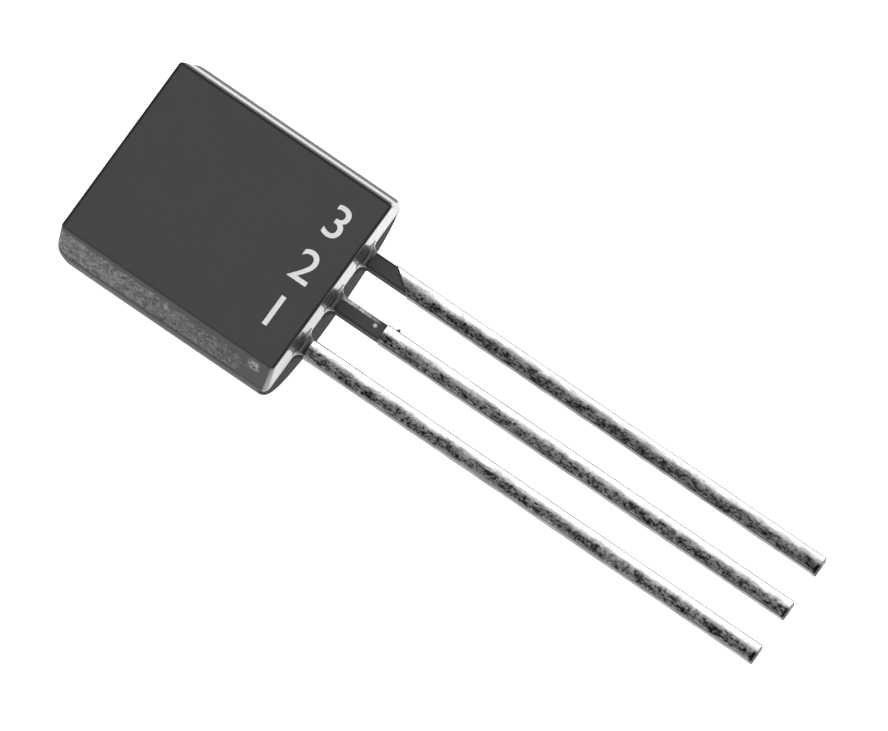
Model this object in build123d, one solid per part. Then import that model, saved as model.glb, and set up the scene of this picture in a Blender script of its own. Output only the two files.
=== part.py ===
from build123d import *

import math
import os

# TO-92 transistor, in millimetres. It lies on its half-round back with the flat face up (+Z)
# and the leads along -Y. X runs across the row of leads, and pin 1 (emitter) is on the -X side.
# The origin is the bottom centre of the whole part.

# Moulded body
FLAT_WIDTH = 4.78
FLAT_LENGTH = 5.96
FLAT_TO_PARTING = 1.09
FACET_DEPTH = 0.90
BODY_RADIUS = 2.76
MOULD_STEP = 0.02
FRONT_DRAFT_DEG = 1.7
BACK_DRAFT_DEG = 3.2
FAR_CORNER_RADIUS = 0.45
LEAD_END_CORNER_RADIUS = 0.20
FLAT_CORNER_RADIUS = 0.06

# Resin collar round the root of each lead
COLLAR_REACH = 0.14
COLLAR_TIP_MARGIN = 0.03
COLLAR_ROOT_MARGIN = 0.25

# Leads, stamped from one strip
LEAD_PITCH = 1.27
LEAD_LENGTH = 12.75
LEAD_WIDTH = 0.41
LEAD_THICKNESS = 0.36
FRAME_SET_BACK = 0.07

# Lead frame inside the body; depths are measured inwards from the lead end of the body
ANCHOR_DEPTH = 0.60
ANCHOR_LENGTH = 0.35
ANCHOR_OVERHANG = 0.14
POST_DEPTH = 1.45
POST_LENGTH = 1.00
POST_WIDTH = 0.86
PADDLE_DEPTH = 2.85
PADDLE_LENGTH = 2.15
PADDLE_WIDTH = 2.80
LOCK_HOLE_RADIUS = 0.28
LOCK_HOLE_INSET = 0.55

# Chip and its bond layer
DIE_SIZE = 0.55
DIE_THICKNESS = 0.20
DIE_INSET = 0.62
ATTACH_THICKNESS = 0.025
ATTACH_MARGIN = 0.06

# Bond wires
WIRE_DIAMETER = 0.03
BALL_DIAMETER = 0.09
BALL_HEIGHT = 0.03
PAD_SPACING = 0.26
WIRE_RISE = 0.20
WIRE_BEND_RADIUS = 0.08
STITCH_LENGTH = 0.10
STITCH_SINK = 0.006

# Worked out from the sizes above
BACK_RADIUS = BODY_RADIUS - MOULD_STEP
PARTING_Z = BACK_RADIUS
FLAT_Z = PARTING_Z + FLAT_TO_PARTING
FRONT_DRAFT = math.tan(math.radians(FRONT_DRAFT_DEG))
BACK_DRAFT = math.tan(math.radians(BACK_DRAFT_DEG))
BODY_LENGTH = FLAT_LENGTH + 2 * FLAT_TO_PARTING * FRONT_DRAFT
LEAD_END_Y = (LEAD_LENGTH - BODY_LENGTH) / 2
BODY_MIDDLE_Y = LEAD_END_Y + BODY_LENGTH / 2
FRAME_Z = PARTING_Z - FRAME_SET_BACK
FRAME_FRONT_Z = FRAME_Z + LEAD_THICKNESS / 2
FRAME_BACK_Z = FRAME_Z - LEAD_THICKNESS / 2
DIE_Y = LEAD_END_Y + PADDLE_DEPTH + DIE_INSET
DIE_TOP_Z = FRAME_FRONT_Z + ATTACH_THICKNESS + DIE_THICKNESS
PIN_X = {"emitter": -LEAD_PITCH, "collector": 0.0, "base": LEAD_PITCH}


def block(x0, x1, y0, y1, z0, z1):
    """A box between two corners."""
    return Pos((x0 + x1) / 2, (y0 + y1) / 2, (z0 + z1) / 2) * Box(x1 - x0, y1 - y0, z1 - z0)


def plan_outline(half_width, length, far_radius, near_radius, z):
    """The body's outline seen from the front, level with z: a rectangle with rounded corners."""
    far = BODY_MIDDLE_Y + length / 2
    near = BODY_MIDDLE_Y - length / 2
    corners = [(-half_width, near), (half_width, near), (half_width, far), (-half_width, far)]
    radii = [near_radius, near_radius, far_radius, far_radius]
    return Pos(0, 0, z) * make_face(FilletPolyline(*corners, radius=radii, close=True))


def radius_offset(z):
    """Half the width of the body's round section at height z."""
    return math.sqrt(BODY_RADIUS**2 - (z - PARTING_Z) ** 2)


def front_half():
    """The mould's front half: a short barrel above the parting plane, then two flat facets."""
    facet_z = FLAT_Z - FACET_DEPTH
    facet_length = FLAT_LENGTH + 2 * FACET_DEPTH * FRONT_DRAFT
    parting = plan_outline(
        BODY_RADIUS, BODY_LENGTH, FAR_CORNER_RADIUS, LEAD_END_CORNER_RADIUS, PARTING_Z
    )
    shoulder = plan_outline(
        radius_offset(facet_z), facet_length, FAR_CORNER_RADIUS, LEAD_END_CORNER_RADIUS, facet_z
    )
    flat = plan_outline(
        FLAT_WIDTH / 2, FLAT_LENGTH, FLAT_CORNER_RADIUS, FLAT_CORNER_RADIUS, FLAT_Z
    )
    return loft([parting, shoulder], ruled=True) + loft([shoulder, flat], ruled=True)


def rim_edges(shape, far_end):
    """The curved edges round one end of the back half."""
    curved = [edge for edge in shape.edges() if edge.geom_type == GeomType.ELLIPSE]
    return [edge for edge in curved if (edge.center().Y > BODY_MIDDLE_Y) == far_end]


def back_half():
    """The mould's back half: a half-round bar whose ends lean in, with a rounded rim at each end."""
    length = BODY_LENGTH - 2 * MOULD_STEP
    bar = Pos(0, BODY_MIDDLE_Y, PARTING_Z) * Rot(90, 0, 0) * Cylinder(BACK_RADIUS, BODY_LENGTH)
    bottom_length = length - 2 * BACK_RADIUS * BACK_DRAFT
    top = Pos(0, BODY_MIDDLE_Y, PARTING_Z) * Rectangle(2 * BODY_RADIUS, length)
    bottom = Pos(0, BODY_MIDDLE_Y, 0) * Rectangle(2 * BODY_RADIUS, bottom_length)
    shape = bar & loft([bottom, top], ruled=True)
    shape = fillet(rim_edges(shape, far_end=False), LEAD_END_CORNER_RADIUS)
    return fillet(rim_edges(shape, far_end=True), FAR_CORNER_RADIUS)


def root_collar(x):
    """The small resin swelling where a lead leaves the body, wider at the body."""
    sections = []
    for reach, margin in ((-COLLAR_REACH, COLLAR_ROOT_MARGIN), (COLLAR_REACH, COLLAR_TIP_MARGIN)):
        plane = Plane((x, LEAD_END_Y - reach, FRAME_Z), x_dir=(1, 0, 0), z_dir=(0, -1, 0))
        sections.append(plane * Rectangle(LEAD_WIDTH + 2 * margin, LEAD_THICKNESS + 2 * margin))
    return loft(sections, ruled=True)


def lead_strip(x, inner_depth):
    """A straight lead from its tip to a depth inside the body."""
    return block(
        x - LEAD_WIDTH / 2, x + LEAD_WIDTH / 2,
        LEAD_END_Y - LEAD_LENGTH, LEAD_END_Y + inner_depth,
        FRAME_BACK_Z, FRAME_FRONT_Z,
    )


def frame_pad(x, width, depth, length):
    """A widened part of the lead frame, centred on x."""
    return block(
        x - width / 2, x + width / 2,
        LEAD_END_Y + depth, LEAD_END_Y + depth + length,
        FRAME_BACK_Z, FRAME_FRONT_Z,
    )


def anchor(x):
    """The cross-bar that locks a lead in the resin."""
    return frame_pad(x, LEAD_WIDTH + 2 * ANCHOR_OVERHANG, ANCHOR_DEPTH, ANCHOR_LENGTH)


def post_lead(x):
    """An outer lead with its anchor and the post that takes a bond wire."""
    return lead_strip(x, POST_DEPTH) + anchor(x) + frame_pad(x, POST_WIDTH, POST_DEPTH, POST_LENGTH)


def collector_lead():
    """The centre lead, which widens into the paddle that carries the chip."""
    lead = lead_strip(0, PADDLE_DEPTH) + anchor(0)
    lead += frame_pad(0, PADDLE_WIDTH, PADDLE_DEPTH, PADDLE_LENGTH)
    hole_y = LEAD_END_Y + PADDLE_DEPTH + PADDLE_LENGTH - LOCK_HOLE_INSET
    return lead - Pos(0, hole_y, FRAME_Z) * Cylinder(LOCK_HOLE_RADIUS, 2 * LEAD_THICKNESS)


def die_attach():
    """The bond layer under the chip."""
    half = DIE_SIZE / 2 + ATTACH_MARGIN
    return block(
        -half, half, DIE_Y - half, DIE_Y + half, FRAME_FRONT_Z, FRAME_FRONT_Z + ATTACH_THICKNESS
    )


def silicon_die():
    """The chip."""
    half = DIE_SIZE / 2
    return block(
        -half, half, DIE_Y - half, DIE_Y + half, DIE_TOP_Z - DIE_THICKNESS, DIE_TOP_Z
    )


def bond_wire(side):
    """A wire from a pad on the chip to the post on that side: ball, loop and stitch."""
    pad = Vector(side * PAD_SPACING / 2, DIE_Y, DIE_TOP_Z)
    stitch_z = FRAME_FRONT_Z + WIRE_DIAMETER / 2 - STITCH_SINK
    post_y = LEAD_END_Y + POST_DEPTH + POST_LENGTH / 2
    landing = Vector(side * LEAD_PITCH, post_y, stitch_z)
    along = Vector(landing.X - pad.X, landing.Y - pad.Y, 0).normalized()
    peak = pad + Vector(0, 0, BALL_HEIGHT + WIRE_RISE)
    path = FilletPolyline(
        pad + Vector(0, 0, BALL_HEIGHT / 2),
        peak,
        landing,
        landing + along * STITCH_LENGTH,
        radius=[WIRE_BEND_RADIUS, WIRE_BEND_RADIUS],
    )
    section = Plane(path @ 0, z_dir=path % 0) * Circle(WIRE_DIAMETER / 2)
    ball = Pos(pad.X, pad.Y, pad.Z + BALL_HEIGHT / 2) * Cylinder(BALL_DIAMETER / 2, BALL_HEIGHT)
    return sweep(section, path) + ball


def body(embedded):
    """The moulding, with a cavity that fits all that is cast into it."""
    collars = [root_collar(x) for x in PIN_X.values()]
    shape = front_half() + back_half() + collars
    return shape - embedded


def main():
    post_leads = {name: post_lead(PIN_X[name]) for name in ("emitter", "base")}
    wires = {
        "emitter": bond_wire(-1) - post_leads["emitter"],
        "base": bond_wire(1) - post_leads["base"],
    }
    nodes = {
        "emitter_lead": post_leads["emitter"],
        "collector_lead": collector_lead(),
        "base_lead": post_leads["base"],
        "die_attach": die_attach(),
        "silicon_die": silicon_die(),
        "emitter_bond_wire": wires["emitter"],
        "base_bond_wire": wires["base"],
    }
    nodes["body"] = body(list(nodes.values()))
    os.makedirs("parts", exist_ok=True)
    for name, shape in nodes.items():
        export_step(shape, f"parts/{name}.step")


main()
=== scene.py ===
import math
from contextlib import contextmanager

import bmesh
import bpy
from bpy.props import FloatProperty, FloatVectorProperty, IntProperty, PointerProperty
from mathutils import Matrix, Vector


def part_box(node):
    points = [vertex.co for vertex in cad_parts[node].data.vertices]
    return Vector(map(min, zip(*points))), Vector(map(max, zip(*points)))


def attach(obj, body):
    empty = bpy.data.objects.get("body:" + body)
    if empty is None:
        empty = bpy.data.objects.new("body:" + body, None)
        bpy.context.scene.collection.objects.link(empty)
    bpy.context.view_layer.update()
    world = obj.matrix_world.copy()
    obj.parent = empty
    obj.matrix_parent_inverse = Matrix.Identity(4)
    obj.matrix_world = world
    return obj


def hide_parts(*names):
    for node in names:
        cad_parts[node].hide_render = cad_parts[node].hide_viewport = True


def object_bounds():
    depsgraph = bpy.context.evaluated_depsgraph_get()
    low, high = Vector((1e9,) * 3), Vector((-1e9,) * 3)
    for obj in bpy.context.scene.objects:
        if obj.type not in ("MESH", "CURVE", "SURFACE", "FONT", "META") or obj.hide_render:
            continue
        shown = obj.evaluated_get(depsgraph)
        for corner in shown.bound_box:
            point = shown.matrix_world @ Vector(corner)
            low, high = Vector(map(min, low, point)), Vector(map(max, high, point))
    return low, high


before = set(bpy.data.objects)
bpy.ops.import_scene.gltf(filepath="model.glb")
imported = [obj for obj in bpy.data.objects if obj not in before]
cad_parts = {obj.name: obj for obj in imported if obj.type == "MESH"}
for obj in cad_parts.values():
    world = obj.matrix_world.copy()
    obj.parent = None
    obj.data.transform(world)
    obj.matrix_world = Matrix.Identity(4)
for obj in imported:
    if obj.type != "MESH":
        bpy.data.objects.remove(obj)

bl_info = {
    "name": "Three-lead moulded transistor",
    "version": (1, 0, 0),
    "blender": (4, 5, 0),
    "location": "3D View > Sidebar > Transistor",
    "description": "Builds the finished surfaces of a three-lead transistor round its packed frame",
    "category": "Object",
}

# The part lies on its round back, with its flat face up (+Z) and its leads along -Y.
# Settings are in metres. Pieces are shaped at BENCH times life size, because the modelling tools'
# own tolerances are coarse for a part this small, and finish_piece brings them down.
BENCH = 1000.0
ROOT = "root"
CAD_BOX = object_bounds()
BODY_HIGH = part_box("body")[1]
LEAD_LOW, LEAD_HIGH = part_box("base_lead")
LEAD_TIP_Y = LEAD_LOW.y
LEAD_LOW_Z = LEAD_LOW.z
LEAD_HIGH_Z = LEAD_HIGH.z
LEAD_X = {
    name: sum(corner.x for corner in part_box(f"{name}_lead")) / 2
    for name in ("emitter", "collector", "base")
}
INNER_NODES = [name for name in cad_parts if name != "body"]


def length(name, description, default):
    """A setting that is a length, in metres."""
    return FloatProperty(
        name=name, description=description, default=default, min=0.0, precision=6, unit="LENGTH"
    )


def angle(name, description, degrees):
    """A setting that is an angle."""
    return FloatProperty(
        name=name, description=description, default=math.radians(degrees), subtype="ANGLE"
    )


def colour(name, description, default):
    """A setting that is a linear colour."""
    return FloatVectorProperty(
        name=name, description=description, default=default, min=0.0, max=1.0, subtype="COLOR"
    )


def plain_number(name, description, default):
    """A setting that is a number with no unit."""
    return FloatProperty(name=name, description=description, default=default, min=0.0)


def watts(name, description, default):
    """A setting that is a lamp's power."""
    return FloatProperty(
        name=name, description=description, default=default, min=0.0, unit="POWER"
    )


def direction(name, description, default):
    """A setting that is a direction."""
    return FloatVectorProperty(
        name=name, description=description, default=default, subtype="DIRECTION"
    )


def width_and_height(name, description, default):
    """A setting that is two lengths, in metres."""
    return FloatVectorProperty(
        name=name, description=description, default=default, size=2, unit="LENGTH"
    )


class BodySettings(bpy.types.PropertyGroup):
    lead_length: length("Lead length", "From the body's lead end to a lead's tip", 12.75e-3)
    flat_width: length("Flat width", "Across the flat face", 4.78e-3)
    flat_to_parting: length("Flat to parting", "From the flat to the parting plane", 1.09e-3)
    facet_depth: length("Facet depth", "Depth of the slanted facets beside the flat", 0.90e-3)
    mould_step: length("Mould step", "Overhang of the mould's front half over its back", 0.02e-3)
    front_draft: angle("Front draft", "Lean of the front half's ends", 1.7)
    back_draft: angle("Back draft", "Lean of the back half's ends", 3.2)
    far_corner: length("Far corner radius", "Rounding of the rim away from the leads", 0.45e-3)
    near_corner: length("Lead-end corner radius", "Rounding of the rim at the lead end", 0.20e-3)
    flat_corner: length("Flat corner radius", "Rounding of the flat face's corners", 0.08e-3)
    edge_round: length("Edge rounding", "Rounding of the edge round the flat face", 0.04e-3)
    shoulder_round: length("Shoulder rounding", "Rounding between barrel and facets", 0.05e-3)
    collar_reach: length("Collar reach", "How far resin creeps along each lead", 0.16e-3)
    collar_flare: length("Collar flare", "Extra width of a collar where it meets the body", 0.17e-3)
    collar_wall: length("Collar wall", "Thickness of a collar at its tip", 0.025e-3)
    collar_corner: length("Collar corner radius", "Rounding of a collar's corners", 0.10e-3)
    compound: colour("Compound", "Colour of the moulded flat", (0.016, 0.016, 0.0165))
    scuffed: colour("Scuffed compound", "Colour of the rough facets", (0.16, 0.16, 0.16))


class LeadSettings(bpy.types.PropertyGroup):
    core_width: length("Core width", "Width of the stamped lead", 0.41e-3)
    coat_wall: length("Coat thickness", "Thickness of the tin near a lead's corners", 0.022e-3)
    coat_corner: length("Coat corner radius", "Rounding of the coated lead's corners", 0.062e-3)
    coat_crown: length("Coat crown", "How far the coat swells at the middle of each side", 0.020e-3)
    lump_height: length("Lump height", "Height of the ripples in the tin", 0.011e-3)
    emitter_bare: length("Emitter bare length", "Bare length of the emitter lead", 0.17e-3)
    collector_bare: length("Collector bare length", "Bare length of the collector lead", 1.36e-3)
    base_bare: length("Base bare length", "Bare length of the base lead, at its middle", 1.00e-3)
    base_slant: angle("Base tin line", "Slant of the line where tin starts on the base lead", 52)
    cut_back: length("Cut back", "How far the coat stops short of a lead's cut end", 0.008e-3)
    coat_edge: length("Coat edge", "Rounding of the edges at the ends of the coat", 0.012e-3)
    burr_place: length("Burr place", "From the body's lead end to the burr", 1.62e-3)
    burr_size: length("Burr size", "Length and depth of the burr at the lead", 0.16e-3)
    rings: IntProperty(
        name="Rings", description="Rings of faces along a coated lead", default=190, min=8
    )
    tin: colour("Tin", "Colour of the tin coat", (0.72, 0.72, 0.71))
    bare_metal: colour("Bare alloy", "Colour of the bare lead alloy", (0.040, 0.040, 0.041))


class PrintSettings(bpy.types.PropertyGroup):
    digit_size: length("Digit size", "Type size of the pin numbers", 1.18e-3)
    from_lead_end: length("Place", "From the flat's lead end to the middle of the numbers", 0.80e-3)
    film: length("Film", "Thickness of the printed film", 0.004e-3)
    ink: colour("Ink", "Colour of the print", (0.62, 0.62, 0.61))


class StageSettings(bpy.types.PropertyGroup):
    azimuth: angle("Azimuth", "Camera's direction round the part, from the lead tips", -54.81)
    elevation: angle("Elevation", "Height of the camera above the floor", 75.18)
    view_width: length("View width", "Width of the view at the part", 20.362e-3)
    camera_distance: length("Camera distance", "From the camera to the part", 0.12)
    aim_shift: FloatVectorProperty(
        name="Aim", description="Where the camera looks, from the middle of the part's box",
        default=(0.208e-3, 0.434e-3, 0.755e-3), unit="LENGTH", precision=6,
    )
    floor_size: length("Floor size", "Width of the floor", 0.6)
    floor_colour: colour("Floor", "Colour of the floor", (0.90, 0.90, 0.90))
    floor_glow: plain_number("Floor glow", "Light that the table gives from below", 0.75)
    key_power: watts("Key light", "Power of the key softbox", 0.75)
    key_toward: direction("Key direction", "From the part to the key softbox", (0.72, 0.10, 0.69))
    key_distance: length("Key distance", "From the part to the key softbox", 0.30)
    key_size: width_and_height("Key size", "Size of the key softbox", (0.33, 0.33))
    fill_power: watts("Fill light", "Power of the fill softbox", 0.05)
    fill_toward: direction(
        "Fill direction", "From the part to the fill softbox", (-0.75, -0.45, 0.40)
    )
    fill_distance: length("Fill distance", "From the part to the fill softbox", 0.35)
    fill_size: width_and_height("Fill size", "Size of the fill softbox", (0.22, 0.16))
    sky_low: plain_number("Low surroundings", "Brightness of the room near the floor", 1.0)
    sky_high: plain_number("High surroundings", "Brightness of the room overhead", 0.12)
    sky_edge: plain_number("Sky edge", "Sine of the height where the room darkens", 0.78)
    sky_blur: plain_number("Sky blur", "How softly the room darkens", 0.25)


# Modelling helpers


@contextmanager
def edit_mode(piece):
    """Edits one piece's mesh, with nothing else selected."""
    bpy.ops.object.select_all(action="DESELECT")
    piece.select_set(True)
    bpy.context.view_layer.objects.active = piece
    bpy.ops.object.mode_set(mode="EDIT")
    try:
        yield
    finally:
        bpy.ops.object.mode_set(mode="OBJECT")


def select(piece, kind, test):
    """In edit mode, selects the vertices, edges or faces of a piece that pass a test."""
    bpy.ops.mesh.select_mode(type={"verts": "VERT", "edges": "EDGE", "faces": "FACE"}[kind])
    bpy.ops.mesh.select_all(action="DESELECT")
    mesh = bmesh.from_edit_mesh(piece.data)
    for item in getattr(mesh, kind):
        if test(item):
            item.select_set(True)
    mesh.select_flush_mode()
    bmesh.update_edit_mesh(piece.data)


def near(a, b, tolerance=1e-4):
    return abs(a - b) < tolerance


def edge_at(z):
    """A test for edges that lie level with z."""
    return lambda edge: all(near(vertex.co.z, z) for vertex in edge.verts)


def start_piece(name, add, **place):
    """A new primitive, alone in the selection, with its place in its mesh."""
    bpy.ops.object.select_all(action="DESELECT")
    add(**place)
    piece = bpy.context.active_object
    piece.name = name
    piece.data.name = name
    bpy.ops.object.transform_apply(location=True, rotation=True, scale=True)
    return piece


def join(name, pieces):
    """Several pieces as one."""
    bpy.ops.object.select_all(action="DESELECT")
    for piece in pieces:
        piece.select_set(True)
    bpy.context.view_layer.objects.active = pieces[0]
    bpy.ops.object.join()
    pieces[0].name = name
    return pieces[0]


def apply_modifier(piece, kind, **settings):
    """Adds a modifier, sets it and applies it."""
    modifier = piece.modifiers.new(kind.lower(), kind)
    for setting, value in settings.items():
        setattr(modifier, setting, value)
    bpy.ops.object.select_all(action="DESELECT")
    piece.select_set(True)
    bpy.context.view_layer.objects.active = piece
    bpy.ops.object.modifier_apply(modifier=modifier.name)


def combine(piece, tool, operation):
    """Adds a tool to a piece or cuts it away, and throws the tool out."""
    apply_modifier(piece, "BOOLEAN", object=tool, operation=operation, solver="EXACT")
    bpy.data.objects.remove(tool)


def finish_piece(piece, material, smooth_angle):
    """Brings a piece down to life size, smooths it, and hangs it on the frame."""
    piece.data.transform(Matrix.Scale(1 / BENCH, 4))
    bpy.ops.object.select_all(action="DESELECT")
    piece.select_set(True)
    bpy.context.view_layer.objects.active = piece
    bpy.ops.object.shade_smooth_by_angle(angle=math.radians(smooth_angle))
    piece.data.materials.clear()
    piece.data.materials.append(material)
    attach(piece, ROOT)
    return piece


def rounded_plate(name, half_width, low_y, high_y, low_radius, high_radius, z, segments):
    """A level plate with rounded corners."""
    middle = (0, (low_y + high_y) / 2, z)
    plate = start_piece(name, bpy.ops.mesh.primitive_plane_add, size=1, location=middle)
    with edit_mode(plate):
        bpy.ops.mesh.select_all(action="SELECT")
        bpy.ops.transform.resize(value=(2 * half_width, high_y - low_y, 1), center_override=middle)
        for radius, end in ((low_radius, low_y), (high_radius, high_y)):
            select(plate, "verts", lambda vertex: near(vertex.co.y, end))
            bpy.ops.mesh.bevel(offset=radius, segments=segments, affect="VERTICES", profile=0.5)
    return plate


# Shader helpers


class Sum:
    """A socket in a material. Arithmetic on it adds the Math nodes that work it out."""

    def __init__(self, tree, socket=None):
        self.tree = tree
        self.socket = socket

    def node(self, kind, sockets=(), output=0, stops=None, **settings):
        """Adds a node. Its settings are set first, then its sockets' values or links."""
        made = self.tree.nodes.new(kind)
        for setting, value in settings.items():
            setattr(made, setting, value)
        if stops:
            ramp = made.color_ramp.elements
            while len(ramp) < len(stops):
                ramp.new(0.5)
            for element, (position, grey) in zip(ramp, stops):
                element.position = position
                element.color = (grey, grey, grey, 1)
        for key, value in dict(sockets).items():
            if isinstance(value, Sum):
                self.tree.links.new(value.socket, made.inputs[key])
            else:
                made.inputs[key].default_value = value
        return Sum(self.tree, made.outputs[output])

    def math(self, operation, *values):
        return self.node("ShaderNodeMath", enumerate(values), operation=operation)

    def __add__(self, other):
        return self.math("ADD", self, other)

    def __sub__(self, other):
        return self.math("SUBTRACT", self, other)

    def __rsub__(self, other):
        return self.math("SUBTRACT", other, self)

    def __mul__(self, other):
        return self.math("MULTIPLY", self, other)

    def __truediv__(self, other):
        return self.math("DIVIDE", self, other)

    __radd__ = __add__
    __rmul__ = __mul__

    def least(self, other):
        return self.math("MINIMUM", self, other)

    def most(self, other):
        return self.math("MAXIMUM", self, other)

    def above(self, edge, blur):
        """0 below an edge and 1 above it, blurred over a width."""
        return ((self - edge) / blur + 0.5).least(1.0).most(0.0)

    def below(self, edge, blur):
        return 1 - self.above(edge, blur)

    def size(self):
        """How far it is from nothing, either way."""
        return self.math("ABSOLUTE", self)


class Finish(Sum):
    """A material being mixed. Patterns read the piece's own coordinates, in millimetres."""

    def __init__(self, name):
        self.material = bpy.data.materials.new(name)
        self.material.use_nodes = True
        super().__init__(self.material.node_tree)
        self.shader = self.tree.nodes["Principled BSDF"]
        coordinates = self.node("ShaderNodeTexCoord", output="Object")
        self.place = coordinates.node(
            "ShaderNodeVectorMath", {0: coordinates, "Scale": BENCH}, operation="SCALE"
        )

    def axes(self):
        """The x, y and z of a point, in millimetres."""
        return [
            self.node("ShaderNodeSeparateXYZ", {0: self.place}, output=axis) for axis in range(3)
        ]

    def noise(
        self, grain, detail=3.0, roughness=0.55, stretch=(1, 1, 1), shift=0.0, distortion=0.0
    ):
        """Noise from 0 to 1, with features of about this many millimetres."""
        place = self.node(
            "ShaderNodeMapping", {0: self.place, 1: (shift, shift, shift), 3: stretch}
        )
        return self.node(
            "ShaderNodeTexNoise",
            {"Vector": place, "Scale": 1 / grain, "Detail": detail, "Roughness": roughness,
             "Distortion": distortion},
        )

    def ramp(self, value, *stops):
        """A value passed through (position, grey) stops."""
        return self.node("ShaderNodeValToRGB", {0: value}, stops=stops)

    def mix(self, factor, first, second):
        """Two colours mixed by a factor."""
        return self.node(
            "ShaderNodeMix", {0: factor, 6: first, 7: second}, output=2, data_type="RGBA",
            clamp_factor=True,
        )

    def scaled(self, tint, factor):
        """A colour made lighter or darker by a factor."""
        return self.node(
            "ShaderNodeVectorMath", {0: tint, "Scale": factor}, operation="SCALE"
        )

    def bump(self, height, depth, strength=1.0):
        """Relief of this depth, in millimetres."""
        return self.node(
            "ShaderNodeBump", {"Strength": strength, "Distance": depth / BENCH, "Height": height},
            output="Normal",
        )

    def done(self, **sockets):
        """Sets or links the shader's sockets, whose spaces are written as underscores."""
        for name, value in sockets.items():
            socket = self.shader.inputs[name.replace("_", " ")]
            if isinstance(value, Sum):
                self.tree.links.new(value.socket, socket)
            else:
                socket.default_value = value
        return self.material


def grey(level):
    """A plain grey, for a colour socket."""
    return (level, level, level, 1.0)


# Finishes


def from_nearest_lead(x):
    """How far an x is past the middle of the nearest lead, in millimetres."""
    pitch = LEAD_X["base"] * BENCH
    turns = x / pitch
    return x - pitch * turns.math("ROUND", turns).most(-1.0).least(1.0)


def across_lead(x, leads):
    """Where a point is across its lead: -1 at the -X side, 1 at the +X side."""
    return from_nearest_lead(x) / ((leads.core_width / 2 + leads.coat_wall) * BENCH)


def moulding_compound(body):
    """Filled epoxy: a satin flat, one facet scuffed rough, a glossy lead end and facet stripe
    lightened with painted highlight, and painted shade along edges.
    """
    finish = Finish("moulding_compound")
    x, y, z = finish.axes()
    flat_half = body.flat_width / 2 * BENCH
    flat_z = BODY_HIGH.z * BENCH
    shoulder_z = (BODY_HIGH.z - body.facet_depth) * BENCH
    parting_z = (BODY_HIGH.z - body.flat_to_parting) * BENCH
    far_y = BODY_HIGH.y * BENCH
    lead_end_y = (LEAD_TIP_Y + body.lead_length) * BENCH
    lean = body.flat_to_parting * BENCH * math.tan(body.front_draft)

    # Where things are
    from_lead_end = y - lead_end_y
    from_far_end = far_y - y
    emitter_side = x.below(0.0, 0.1)
    base_side = x.above(0.0, 0.1)
    on_facet = x.size().above(flat_half + 0.05, 0.03) * z.above(shoulder_z + 0.02, 0.05)
    on_flat = z.above(flat_z - 0.006, 0.004)
    on_end = from_lead_end.below(0.10, 0.03) * (1 - on_flat) * z.above(parting_z + 0.06, 0.05)
    back_end = from_lead_end.below(0.20, 0.05) * z.below(parting_z + 0.06, 0.05)

    # Patterns
    cloud = finish.noise(0.9, 3.0, shift=3.1)
    mottle = finish.noise(0.22, 4.0, 0.6)
    grain = finish.noise(0.035, 2.0)
    fibre = finish.noise(0.11, 5.0, 0.80, stretch=(1.0, 0.80, 0.8), distortion=1.2)
    speck = finish.ramp(finish.noise(0.12, 4.0, 0.7, shift=7.7), (0.42, 0.0), (0.56, 1.0))
    ragged = 0.5 * (finish.noise(0.35, 4.0, 0.65, shift=6.4) - 0.5)

    # The plain moulding, darkened by painted shade along the flat's edges and at the back half's
    # lead end
    inside_edge = (flat_half - x).least(from_far_end - lean).least(from_lead_end - lean)
    rim = on_flat * inside_edge.below(0.065, 0.04)
    moulding_tone_with_shade = (0.70 + 0.40 * cloud + 0.30 * mottle) * (1 - 0.90 * rim) * (1 - 0.85 * back_end)
    plain = finish.scaled(body.compound, moulding_tone_with_shade)

    # The scuffed facet, whose fibrous patch narrows and fades towards the lead end
    body_length = far_y - lead_end_y
    narrowing = 0.03 + 0.30 * from_far_end / body_length
    scuffed = (
        on_facet * emitter_side * (from_lead_end + ragged).above(0.80, 0.40)
        * (z + ragged).below(flat_z - narrowing, 0.10) * from_far_end.above(0.08, 0.06)
    )
    fibre_tone = finish.ramp(fibre, (0.36, 0.14), (0.50, 0.75), (0.64, 1.65))
    rough = finish.scaled(body.scuffed, fibre_tone * (0.62 + 0.42 * from_lead_end / body_length))
    base = finish.mix(scuffed, plain, rough)

    # Painted highlight on the glossy lead end between the leads and the glossy stripe down the
    # other facet
    between_leads = from_nearest_lead(x).size().above(0.38, 0.24)
    end_highlight = on_end * between_leads * z.below(flat_z - 0.13, 0.05)
    base = finish.mix(end_highlight, base, finish.scaled((0.07, 0.07, 0.07), 0.8 + 0.4 * mottle))
    glossy_highlight_stripe = on_facet * base_side * (z - flat_z + 0.34).size().below(0.15, 0.08)
    base = finish.mix(glossy_highlight_stripe * (0.70 + 0.3 * cloud), base, grey(0.13))

    # Painted shade under the flat's edge and round the shoulder, and a nick in the facet
    under_flat_shade = z.above(flat_z - 0.11, 0.03) * (1 - on_flat) * x.above(0.4 - flat_half, 0.05)
    shoulder_shade = z.below(shoulder_z + 0.07, 0.05) * z.above(parting_z - 0.04, 0.05)
    base = finish.scaled(base, (1 - 0.85 * under_flat_shade) * (1 - 0.85 * shoulder_shade))
    nick_place = (
        (from_lead_end - 0.50).size().below(0.13, 0.14)
        * (z - flat_z + 0.26).size().below(0.12, 0.12)
    )
    base = finish.mix(on_facet * emitter_side * nick_place * speck, base, grey(0.34))

    roughness = (
        0.50 - 0.30 * (on_end + glossy_highlight_stripe).least(1.0) + 0.16 * mottle + 0.30 * scuffed
        + 0.45 * back_end + 0.4 * rim
    )
    relief = 0.25 * grain + 0.5 * mottle + 2.6 * scuffed * fibre
    return finish.done(
        Base_Color=base,
        Roughness=roughness.most(0.12).least(1.0),
        Coat_Weight=(0.95 * on_end + 0.55 * glossy_highlight_stripe).least(1.0),
        Coat_Roughness=0.16,
        IOR=1.54,
        Normal=finish.bump(relief, 0.010, 0.8),
    )


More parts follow.
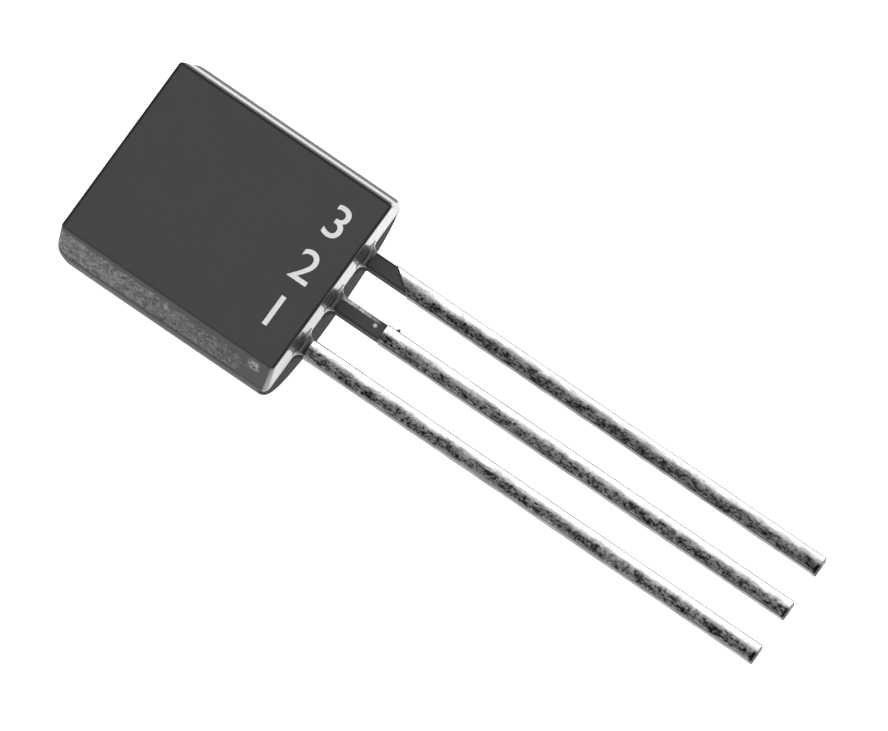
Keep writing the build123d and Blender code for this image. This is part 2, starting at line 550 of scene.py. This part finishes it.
def tinned_lead(leads):
    """Dipped tin: bright and rippled, rougher along one side, with painted shade on that side,
    along its corners and by its cut end.
    """
    finish = Finish("tinned_lead")
    x, y, _ = finish.axes()
    across = across_lead(x, leads)
    patches = finish.noise(0.16, 5.0, 0.68, stretch=(1.0, 0.40, 1.0), distortion=0.5)
    ripple = finish.noise(0.10, 3.0, 0.6, stretch=(1.0, 0.30, 1.0), shift=5.3)
    grain = finish.noise(0.055, 4.0, 0.75, stretch=(1.0, 0.7, 1.0), shift=1.7)
    wander = 0.9 * (finish.noise(0.5, 4.0, 0.6, stretch=(1.0, 0.6, 1.0), shift=9.1) - 0.5)
    # Painted shade along the -X half of each lead's face, which is also rougher there
    rough_shaded_side = (across + wander).below(0.14, 0.60) * (across + 0.3 * wander).above(-0.96, 0.12)
    dull = finish.ramp(patches, (0.40, 1.0), (0.56, 0.0))
    speckle = finish.ramp(grain, (0.42, 1.0), (0.54, 0.0))
    # Painted shade along each lead's corners
    corner = across.size().above(0.93, 0.10)
    worn_lead = x.above(0.6, 0.1)
    tone = 1.0 - 0.16 * dull - 0.22 * worn_lead
    tone = tone * (1 - rough_shaded_side * (0.44 + 0.34 * dull + 0.44 * speckle))
    # Painted shade on the -X half of the coat by the cut end
    by_cut_end = (y - LEAD_TIP_Y * BENCH).below(0.07, 0.05)
    tone = tone * (1 - 0.80 * corner) * (1 - 0.95 * by_cut_end * across.below(0.0, 0.4))
    roughness = 0.20 + 0.14 * dull + 0.14 * rough_shaded_side + 0.08 * grain
    relief = 0.9 * ripple + 0.6 * patches + 0.35 * grain
    return finish.done(
        Base_Color=finish.scaled(leads.tin, tone.most(0.012)),
        Metallic=1.0,
        Roughness=roughness,
        Normal=finish.bump(relief, 0.010, 0.6),
    )


def bare_alloy(body, leads):
    """The undipped lead alloy, dark with oxide; painted shade at its edges and cut ends, painted
    highlight on its cut ends and on one edge of the middle lead.
    """
    finish = Finish("bare_alloy")
    x, y, z = finish.axes()
    across = across_lead(x, leads)
    oxide = finish.noise(0.12, 5.0, 0.65, stretch=(1.0, 0.5, 1.0))
    grain = finish.noise(0.03, 2.0, shift=2.4)
    from_tip = y - LEAD_TIP_Y * BENCH
    from_body = body.lead_length * BENCH - from_tip
    cut = from_tip.below(0.004, 0.004)
    streaks = finish.noise(0.03, 2.0, stretch=(1.0, 1.0, 0.12))
    # Painted shade along the lead's edges
    fringe = across.size().above(0.72, 0.12)
    tone = (0.70 + 0.50 * oxide + 0.25 * grain) * (1 - 0.75 * fringe)
    # Painted shade on the -X half of the cut end and painted highlight on its +X half
    cut_end_shade = cut * across.below(0.15, 0.2)
    cut_end_highlight = cut * across.above(0.15, 0.2)
    tone = tone * (1 - 0.85 * cut_end_shade) + 3.0 * cut_end_highlight
    # A painted highlight along one edge of the middle lead's top face, near the body
    highlight_breakup = finish.ramp(finish.noise(0.07, 4.0, 0.7, shift=4.2), (0.42, 0.0), (0.56, 1.0))
    middle_lead = x.size().below(0.4, 0.1)
    highlight_streak = across.above(0.52, 0.10) * across.below(0.86, 0.10) * from_body.below(1.0, 0.5)
    aside = 0.23 * (across - 0.15)
    along = from_body - 1.12
    highlight_spot = (aside * aside + along * along).below(0.0022, 0.0030)
    neck_highlight = (
        middle_lead * z.above(LEAD_HIGH_Z * BENCH - 0.02, 0.01)
        * (highlight_streak * (0.35 + 0.65 * highlight_breakup) + 0.8 * highlight_spot)
    )
    base = finish.mix(neck_highlight, finish.scaled(leads.bare_metal, tone), (0.62, 0.62, 0.61, 1.0))
    return finish.done(
        Base_Color=base,
        Metallic=0.30,
        Roughness=0.55 + 0.20 * oxide,
        Normal=finish.bump(oxide + 0.5 * grain + cut * streaks, 0.008, 0.6),
    )


def print_ink(marks):
    """Pale marking ink, thin and speckled where the moulding's grain shows through."""
    finish = Finish("print_ink")
    wear = finish.ramp(finish.noise(0.055, 4.0, 0.7), (0.30, 0.0), (0.48, 1.0))
    tone = 0.80 + 0.22 * wear + 0.10 * finish.noise(0.3, 2.0)
    return finish.done(
        Base_Color=finish.scaled(marks.ink, tone),
        Roughness=0.62,
        Normal=finish.bump(wear, 0.004, 0.6),
    )


def silicon():
    """The chip: smooth, glossy blue-grey silicon with fine metal tracks on its face."""
    finish = Finish("silicon")
    x, _, z = finish.axes()
    wave = x * 22.0
    fingers = wave.math("SINE", wave).above(0.35, 0.2)
    face = z.above(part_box("silicon_die")[1].z * BENCH - 0.01, 0.004)
    tracks = fingers * face
    haze = finish.noise(0.12, 3.0)
    base = finish.mix(tracks, (0.05, 0.06, 0.085, 1.0), (0.55, 0.56, 0.58, 1.0))
    return finish.done(
        Base_Color=base, Metallic=0.35 + 0.6 * tracks, Roughness=0.10 + 0.12 * haze,
        Normal=finish.bump(haze + tracks, 0.002, 0.5),
    )


def bond_metal(name, tint, grain, rough):
    """Gold, as it lies under the chip or in a drawn wire."""
    finish = Finish(name)
    flow = finish.noise(grain, 3.0)
    return finish.done(
        Base_Color=finish.scaled(tint, 0.85 + 0.3 * flow), Metallic=1.0,
        Roughness=rough + 0.15 * flow, Normal=finish.bump(flow, 0.002, 0.5),
    )


# Pieces


def front_half(body, lead_end_y, far_y):
    """The front of the body, open at its parting plane: a short barrel, two facets and the flat."""
    radius = BODY_HIGH.x * BENCH
    flat_z = BODY_HIGH.z * BENCH
    parting_z = flat_z - body.flat_to_parting * BENCH
    shoulder_z = flat_z - body.facet_depth * BENCH
    levels = (
        (parting_z, radius, body.near_corner, body.far_corner),
        (shoulder_z, math.sqrt(radius**2 - (shoulder_z - parting_z) ** 2),
         body.near_corner, body.far_corner),
        (flat_z, body.flat_width / 2 * BENCH, body.flat_corner, body.flat_corner),
    )
    plates = []
    for z, half_width, near_radius, far_radius in levels:
        lean = (z - parting_z) * math.tan(body.front_draft)
        plates.append(rounded_plate(
            "level", half_width, lead_end_y + lean, far_y - lean,
            near_radius * BENCH, far_radius * BENCH, z, 8,
        ))
    front = join("front", plates)
    heights = [level[0] for level in levels]
    with edit_mode(front):
        select(front, "faces", lambda face: face.calc_center_median().z < flat_z - 0.01)
        bpy.ops.mesh.delete(type="ONLY_FACE")
        for low, high in zip(heights, heights[1:]):
            either = (edge_at(low), edge_at(high))
            select(front, "edges", lambda edge: any(test(edge) for test in either))
            bpy.ops.mesh.bridge_edge_loops()
        bpy.ops.mesh.select_all(action="SELECT")
        bpy.ops.mesh.normals_make_consistent(inside=False)
        select(front, "edges", edge_at(flat_z))
        bpy.ops.mesh.bevel(offset=body.edge_round * BENCH, segments=4, profile=0.5)
        select(front, "edges", edge_at(shoulder_z))
        bpy.ops.mesh.bevel(offset=body.shoulder_round * BENCH, segments=3, profile=0.5)
    return front


def back_half(body, lead_end_y, far_y):
    """The half-round back, spun about the body's axis and open at the parting plane."""
    step = body.mould_step * BENCH
    radius = BODY_HIGH.x * BENCH - step
    parting_z = (BODY_HIGH.z - body.flat_to_parting) * BENCH
    middle_y = (lead_end_y + far_y) / 2
    back = rounded_plate(
        "back", radius, lead_end_y + step, far_y - step,
        body.near_corner * BENCH, body.far_corner * BENCH, parting_z, 8,
    )
    with edit_mode(back):
        bpy.ops.mesh.select_all(action="SELECT")
        bpy.ops.mesh.bisect(plane_co=(0, 0, 0), plane_no=(1, 0, 0), clear_inner=True)
        bpy.ops.mesh.select_all(action="SELECT")
        bpy.ops.mesh.delete(type="ONLY_FACE")
        select(back, "edges", lambda edge: all(near(vertex.co.x, 0) for vertex in edge.verts))
        bpy.ops.mesh.delete(type="EDGE")
        bpy.ops.mesh.select_all(action="SELECT")
        bpy.ops.mesh.spin(steps=96, angle=-math.pi, center=(0, 0, parting_z), axis=(0, 1, 0))
        bpy.ops.mesh.select_all(action="SELECT")
        bpy.ops.mesh.remove_doubles(threshold=0.001)
        bpy.ops.mesh.normals_make_consistent(inside=False)
    pivot = bpy.data.objects.new("pivot", None)
    pivot.location = (0, middle_y, parting_z)
    bpy.context.scene.collection.objects.link(pivot)
    bpy.context.view_layer.update()
    half_length = (far_y - lead_end_y) / 2 - step
    apply_modifier(
        back, "SIMPLE_DEFORM", deform_method="TAPER", origin=pivot, deform_axis="Z",
        factor=radius * math.tan(body.back_draft) / half_length, lock_x=True,
    )
    bpy.data.objects.remove(pivot)
    with edit_mode(back):
        bpy.ops.mesh.select_all(action="SELECT")
        bpy.ops.mesh.dissolve_limited(angle_limit=math.radians(0.1), delimit={"NORMAL"})
    return back


def resin_collar(body, x, lead_end_y, core_size):
    """The small concave skirt of resin round the root of one lead."""
    steps = 7
    wall = body.collar_wall * BENCH
    flare = body.collar_flare * BENCH
    reach = body.collar_reach * BENCH
    root_y = lead_end_y + flare
    centre_z = (LEAD_LOW_Z + LEAD_HIGH_Z) / 2 * BENCH
    collar = start_piece(
        "collar", bpy.ops.mesh.primitive_plane_add, size=1, location=(x, root_y, centre_z),
        rotation=(math.pi / 2, 0, 0),
    )
    size = [side + 2 * (wall + flare) for side in core_size]
    with edit_mode(collar):
        bpy.ops.mesh.select_all(action="SELECT")
        bpy.ops.transform.resize(value=(size[0], 1, size[1]), center_override=(x, root_y, centre_z))
        bpy.ops.mesh.bevel(
            offset=body.collar_corner * BENCH, segments=4, affect="VERTICES", profile=0.5
        )
        bpy.ops.mesh.select_all(action="SELECT")
        bpy.ops.mesh.extrude_region_move(
            TRANSFORM_OT_translate={"value": (0, lead_end_y - root_y, 0)}
        )
        y = lead_end_y
        for step in range(1, steps + 1):
            turn = step / steps * math.pi / 2
            next_y = lead_end_y - reach * (1 - math.cos(turn))
            bpy.ops.mesh.extrude_region_move(TRANSFORM_OT_translate={"value": (0, next_y - y, 0)})
            margin = wall + flare * (1 - math.sin(turn))
            wanted = [side + 2 * margin for side in core_size]
            bpy.ops.transform.resize(
                value=(wanted[0] / size[0], 1, wanted[1] / size[1]),
                center_override=(x, next_y, centre_z),
            )
            size, y = wanted, next_y
        bpy.ops.mesh.select_all(action="SELECT")
        bpy.ops.mesh.normals_make_consistent(inside=False)
    return collar


def embedded_copies():
    """One mesh of all that is cast into the body, at bench size."""
    copies = []
    for name in INNER_NODES:
        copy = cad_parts[name].copy()
        copy.data = copy.data.copy()
        copy.parent = None
        copy.data.transform(Matrix.Scale(BENCH, 4))
        bpy.context.scene.collection.objects.link(copy)
        copies.append(copy)
    insert = join("insert", copies)
    with edit_mode(insert):
        bpy.ops.mesh.select_all(action="SELECT")
        bpy.ops.mesh.remove_doubles(threshold=0.0001)
    return insert


class OBJECT_OT_transistor_body(bpy.types.Operator):
    """Models the moulded body: front and back halves, parting step, resin collars and cavity"""

    bl_idname = "object.transistor_body"
    bl_label = "Moulded body"
    bl_options = {"REGISTER", "UNDO"}

    def execute(self, context):
        body = context.scene.transistor_body
        leads = context.scene.transistor_leads
        lead_end_y = (LEAD_TIP_Y + body.lead_length) * BENCH
        far_y = BODY_HIGH.y * BENCH
        halves = [front_half(body, lead_end_y, far_y), back_half(body, lead_end_y, far_y)]
        moulding = join("moulded_body", halves)
        with edit_mode(moulding):
            select(moulding, "edges", lambda edge: edge.is_boundary)
            bpy.ops.mesh.bridge_edge_loops()
            bpy.ops.mesh.select_all(action="SELECT")
            bpy.ops.mesh.normals_make_consistent(inside=False)
        core_size = (leads.core_width * BENCH, (LEAD_HIGH_Z - LEAD_LOW_Z) * BENCH)
        for x in LEAD_X.values():
            combine(moulding, resin_collar(body, x * BENCH, lead_end_y, core_size), "UNION")
        combine(moulding, embedded_copies(), "DIFFERENCE")
        finish_piece(moulding, moulding_compound(body), 22)
        apply_modifier(moulding, "WEIGHTED_NORMAL", keep_sharp=True, weight=80)
        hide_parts("body")
        return {"FINISHED"}


def tin_coat(name, body, leads, x, bare, slant, seed):
    """A sleeve of dipped tin on one lead, from its cut end to where it was left bare."""
    wall = leads.coat_wall * BENCH
    core = (leads.core_width * BENCH, (LEAD_HIGH_Z - LEAD_LOW_Z) * BENCH)
    centre_z = (LEAD_LOW_Z + LEAD_HIGH_Z) / 2 * BENCH
    tip_y = (LEAD_TIP_Y + leads.cut_back) * BENCH
    top_y = (LEAD_TIP_Y + body.lead_length - bare) * BENCH
    run = top_y - tip_y + 1.0
    centre = Vector((x, tip_y, centre_z))
    coat = start_piece(
        name, bpy.ops.mesh.primitive_plane_add, size=1, location=centre,
        rotation=(math.pi / 2, 0, 0),
    )
    with edit_mode(coat):
        bpy.ops.mesh.select_all(action="SELECT")
        bpy.ops.transform.resize(
            value=(core[0] + 2 * wall, 1, core[1] + 2 * wall), center_override=centre
        )
        bpy.ops.mesh.bevel(
            offset=leads.coat_corner * BENCH, segments=4, affect="VERTICES", profile=0.5
        )
        select(coat, "edges", lambda edge: edge.calc_length() > 0.1)
        bpy.ops.mesh.subdivide(number_cuts=7)
        for axis, side in ((0, core[0] / 2 + wall), (2, core[1] / 2 + wall)):
            select(coat, "verts", lambda vertex: near(vertex.co[2 - axis], centre[2 - axis]))
            swell = [1.0, 1.0, 1.0]
            swell[axis] = 1 + leads.coat_crown * BENCH / side
            bpy.ops.transform.resize(
                value=swell, center_override=centre, use_proportional_edit=True,
                proportional_edit_falloff="INVERSE_SQUARE", proportional_size=0.20,
                use_proportional_connected=True,
            )
        bpy.ops.mesh.select_all(action="SELECT")
        bpy.ops.mesh.delete(type="ONLY_FACE")
        bpy.ops.mesh.select_all(action="SELECT")
        bpy.ops.mesh.duplicate_move(TRANSFORM_OT_translate={"value": (0, run, 0)})
        bpy.ops.mesh.select_all(action="SELECT")
        bpy.ops.mesh.bridge_edge_loops(number_cuts=leads.rings)
        bpy.ops.mesh.select_all(action="SELECT")
        bpy.ops.mesh.normals_make_consistent(inside=False)
    grain = bpy.data.objects.new("grain", None)
    grain.location = (3.7 * seed, 11.3 * seed, 1.9)
    grain.scale = (1.0, 3.2, 1.0)
    bpy.context.scene.collection.objects.link(grain)
    bpy.context.view_layer.update()
    ripple = bpy.data.textures.new("tin_ripple", "CLOUDS")
    ripple.noise_scale = 0.22
    ripple.noise_depth = 2
    apply_modifier(
        coat, "DISPLACE", texture=ripple, texture_coords="OBJECT", texture_coords_object=grain,
        strength=leads.lump_height * BENCH, mid_level=0.5,
    )
    bpy.data.objects.remove(grain)
    with edit_mode(coat):
        bpy.ops.mesh.select_all(action="SELECT")
        bpy.ops.mesh.bisect(
            plane_co=(x, top_y, centre_z), plane_no=(-math.sin(slant), math.cos(slant), 0),
            use_fill=True, clear_outer=True,
        )
        bpy.ops.mesh.bevel(offset=leads.coat_edge * BENCH, segments=2, profile=0.5)
        select(coat, "edges", lambda edge: edge.is_boundary)
        bpy.ops.mesh.edge_face_add()
        bpy.ops.mesh.select_all(action="SELECT")
        bpy.ops.mesh.normals_make_consistent(inside=False)
    bore = start_piece(
        "bore", bpy.ops.mesh.primitive_cube_add, size=1, location=(x, (tip_y + top_y) / 2, centre_z)
    )
    with edit_mode(bore):
        bpy.ops.mesh.select_all(action="SELECT")
        bpy.ops.transform.resize(
            value=(core[0], 2 * run, core[1]), center_override=(x, (tip_y + top_y) / 2, centre_z)
        )
    combine(coat, bore, "DIFFERENCE")
    return coat


class OBJECT_OT_transistor_tin_coats(bpy.types.Operator):
    """Models the tin coat on each of the three leads"""

    bl_idname = "object.transistor_tin_coats"
    bl_label = "Tin coats"
    bl_options = {"REGISTER", "UNDO"}

    def execute(self, context):
        body = context.scene.transistor_body
        leads = context.scene.transistor_leads
        tin = tinned_lead(leads)
        starts = {
            "emitter": (leads.emitter_bare, 0.0),
            "collector": (leads.collector_bare, 0.0),
            "base": (leads.base_bare, leads.base_slant),
        }
        for seed, (name, (bare, slant)) in enumerate(starts.items(), 1):
            coat = tin_coat(
                f"{name}_tin_coat", body, leads, LEAD_X[name] * BENCH, bare, slant, seed
            )
            finish_piece(coat, tin, 40)
        return {"FINISHED"}


class OBJECT_OT_transistor_burr(bpy.types.Operator):
    """Models the burr that the trimmed tie bar left on the collector lead"""

    bl_idname = "object.transistor_burr"
    bl_label = "Trim burr"
    bl_options = {"REGISTER", "UNDO"}

    def execute(self, context):
        body = context.scene.transistor_body
        leads = context.scene.transistor_leads
        size = leads.burr_size * BENCH
        place = Vector((
            (LEAD_X["collector"] + leads.core_width / 2) * BENCH + 0.03,
            (LEAD_TIP_Y + body.lead_length - leads.burr_place) * BENCH,
            LEAD_HIGH_Z * BENCH - 0.10,
        ))
        burr = start_piece(
            "collector_burr", bpy.ops.mesh.primitive_cube_add, size=1, location=place
        )
        with edit_mode(burr):
            bpy.ops.mesh.select_all(action="SELECT")
            bpy.ops.transform.resize(value=(0.07, size, size), center_override=place)
            select(burr, "faces", lambda face: face.normal.x > 0.9)
            bpy.ops.transform.resize(value=(1, 0.45, 0.6), center_override=place)
            bpy.ops.mesh.extrude_region_move(TRANSFORM_OT_translate={"value": (0.03, -0.03, 0.01)})
            bpy.ops.transform.resize(value=(1, 0.6, 0.7), center_override=place)
            bpy.ops.mesh.select_all(action="SELECT")
            bpy.ops.mesh.bevel(offset=0.012, segments=2, profile=0.5)
        finish_piece(burr, bare_alloy(body, leads), 40)
        return {"FINISHED"}


class OBJECT_OT_transistor_pin_numbers(bpy.types.Operator):
    """Prints a plain pin number on the flat beside each lead"""

    bl_idname = "object.transistor_pin_numbers"
    bl_label = "Pin numbers"
    bl_options = {"REGISTER", "UNDO"}

    def execute(self, context):
        body = context.scene.transistor_body
        marks = context.scene.transistor_print
        flat_y = LEAD_TIP_Y + body.lead_length + body.flat_to_parting * math.tan(body.front_draft)
        digits = []
        for number, name in enumerate(("emitter", "collector", "base"), 1):
            place = Vector((LEAD_X[name], flat_y + marks.from_lead_end, BODY_HIGH.z)) * BENCH
            bpy.ops.object.select_all(action="DESELECT")
            bpy.ops.object.text_add(location=place, rotation=(0, 0, -math.pi / 2))
            digit = context.active_object
            digit.data.body = str(number)
            digit.data.size = marks.digit_size * BENCH
            digit.data.align_x = "CENTER"
            digit.data.align_y = "CENTER"
            digit.data.extrude = marks.film * BENCH / 2
            digit.data.offset = 0.004
            bpy.ops.object.convert(target="MESH")
            bpy.ops.object.transform_apply(location=True, rotation=True, scale=True)
            digits.append(context.active_object)
        finish_piece(join("pin_numbers", digits), print_ink(marks), 40)
        return {"FINISHED"}


class OBJECT_OT_transistor_frame_finishes(bpy.types.Operator):
    """Gives the lead frame, the chip and its bonds their finishes"""

    bl_idname = "object.transistor_frame_finishes"
    bl_label = "Lead frame and chip finishes"
    bl_options = {"REGISTER", "UNDO"}

    def execute(self, context):
        body = context.scene.transistor_body
        leads = context.scene.transistor_leads
        gold = bond_metal("bond_wire_gold", (0.90, 0.62, 0.22), 0.02, 0.14)
        alloy = bare_alloy(body, leads)
        finishes = {
            "emitter_lead": alloy,
            "collector_lead": alloy,
            "base_lead": alloy,
            "silicon_die": silicon(),
            "die_attach": bond_metal("gold_silicon_bond", (0.62, 0.50, 0.30), 0.05, 0.30),
            "emitter_bond_wire": gold,
            "base_bond_wire": gold,
        }
        for name, material in finishes.items():
            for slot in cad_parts[name].material_slots:
                slot.material = material
        return {"FINISHED"}


def softbox(name, stage, aim):
    """A rectangular soft light that shines at a point, set by the stage's settings of its name."""
    bpy.ops.object.select_all(action="DESELECT")
    bpy.ops.object.light_add(type="AREA")
    light = bpy.context.active_object
    light.name = f"{name}_softbox"
    light.data.shape = "RECTANGLE"
    light.data.size, light.data.size_y = getattr(stage, f"{name}_size")
    light.data.energy = getattr(stage, f"{name}_power")
    toward = Vector(getattr(stage, f"{name}_toward")).normalized()
    light.location = aim + toward * getattr(stage, f"{name}_distance")
    light.rotation_euler = toward.to_track_quat("Z", "Y").to_euler()


class OBJECT_OT_transistor_stage(bpy.types.Operator):
    """Sets the floor, the soft lights and the camera"""

    bl_idname = "object.transistor_stage"
    bl_label = "Stage"
    bl_options = {"REGISTER", "UNDO"}

    def execute(self, context):
        scene = context.scene
        stage = scene.transistor_stage
        low, high = (Vector(corner) for corner in CAD_BOX)
        aim = (low + high) / 2 + Vector(stage.aim_shift)

        floor = start_piece(
            "floor", bpy.ops.mesh.primitive_plane_add, size=stage.floor_size,
            location=(aim.x, aim.y, low.z),
        )
        finish = Finish("floor")
        haze = finish.noise(14.0, 2.0)
        floor.data.materials.append(finish.done(
            Base_Color=finish.scaled(stage.floor_colour, 0.99 + 0.02 * haze), Roughness=0.9,
            Emission_Color=(1.0, 1.0, 1.0, 1.0), Emission_Strength=stage.floor_glow,
        ))

        bpy.ops.object.select_all(action="DESELECT")
        bpy.ops.object.camera_add()
        camera = context.active_object
        camera.name = "camera"
        camera.data.type = "ORTHO"
        camera.data.ortho_scale = stage.view_width
        camera.data.clip_start = 0.001
        camera.data.clip_end = 2.0
        toward = Vector((
            math.cos(stage.elevation) * math.sin(stage.azimuth),
            -math.cos(stage.elevation) * math.cos(stage.azimuth),
            math.sin(stage.elevation),
        ))
        camera.location = aim + toward * stage.camera_distance
        camera.rotation_euler = toward.to_track_quat("Z", "Y").to_euler()
        scene.camera = camera

        softbox("key", stage, aim)
        softbox("fill", stage, aim)

        world = bpy.data.worlds.new("studio")
        world.use_nodes = True
        scene.world = world
        sky = Sum(world.node_tree)
        height = sky.node(
            "ShaderNodeSeparateXYZ",
            {0: sky.node("ShaderNodeTexCoord", output="Generated")}, output=2,
        )
        overhead = height.above(stage.sky_edge, stage.sky_blur)
        shade = stage.sky_low + (stage.sky_high - stage.sky_low) * overhead
        background = world.node_tree.nodes["Background"]
        world.node_tree.links.new(shade.socket, background.inputs["Color"])
        scene.view_settings.view_transform = "Standard"
        return {"FINISHED"}


OPERATORS = (
    OBJECT_OT_transistor_stage,
    OBJECT_OT_transistor_body,
    OBJECT_OT_transistor_tin_coats,
    OBJECT_OT_transistor_burr,
    OBJECT_OT_transistor_pin_numbers,
    OBJECT_OT_transistor_frame_finishes,
)
SETTINGS = {
    "transistor_body": BodySettings,
    "transistor_leads": LeadSettings,
    "transistor_print": PrintSettings,
    "transistor_stage": StageSettings,
}


class VIEW3D_PT_transistor(bpy.types.Panel):
    """The transistor's settings and the operators that build it"""

    bl_idname = "VIEW3D_PT_transistor"
    bl_label = "Transistor"
    bl_space_type = "VIEW_3D"
    bl_region_type = "UI"
    bl_category = "Transistor"

    def draw(self, context):
        for name, group in SETTINGS.items():
            box = self.layout.box()
            box.label(text=group.__name__.replace("Settings", ""))
            for setting in group.__annotations__:
                box.prop(getattr(context.scene, name), setting)
        for operator in OPERATORS:
            self.layout.operator(operator.bl_idname)


def register():
    for group in SETTINGS.values():
        bpy.utils.register_class(group)
    for operator in OPERATORS:
        bpy.utils.register_class(operator)
    bpy.utils.register_class(VIEW3D_PT_transistor)
    for name, group in SETTINGS.items():
        setattr(bpy.types.Scene, name, PointerProperty(type=group))


def unregister():
    for name in SETTINGS:
        delattr(bpy.types.Scene, name)
    bpy.utils.unregister_class(VIEW3D_PT_transistor)
    for group in (*reversed(OPERATORS), *SETTINGS.values()):
        bpy.utils.unregister_class(group)


def main():
    register()
    bpy.ops.object.transistor_stage()
    bpy.ops.object.transistor_body()
    bpy.ops.object.transistor_tin_coats()
    bpy.ops.object.transistor_burr()
    bpy.ops.object.transistor_pin_numbers()
    bpy.ops.object.transistor_frame_finishes()


if __name__ == "__main__":
    main()
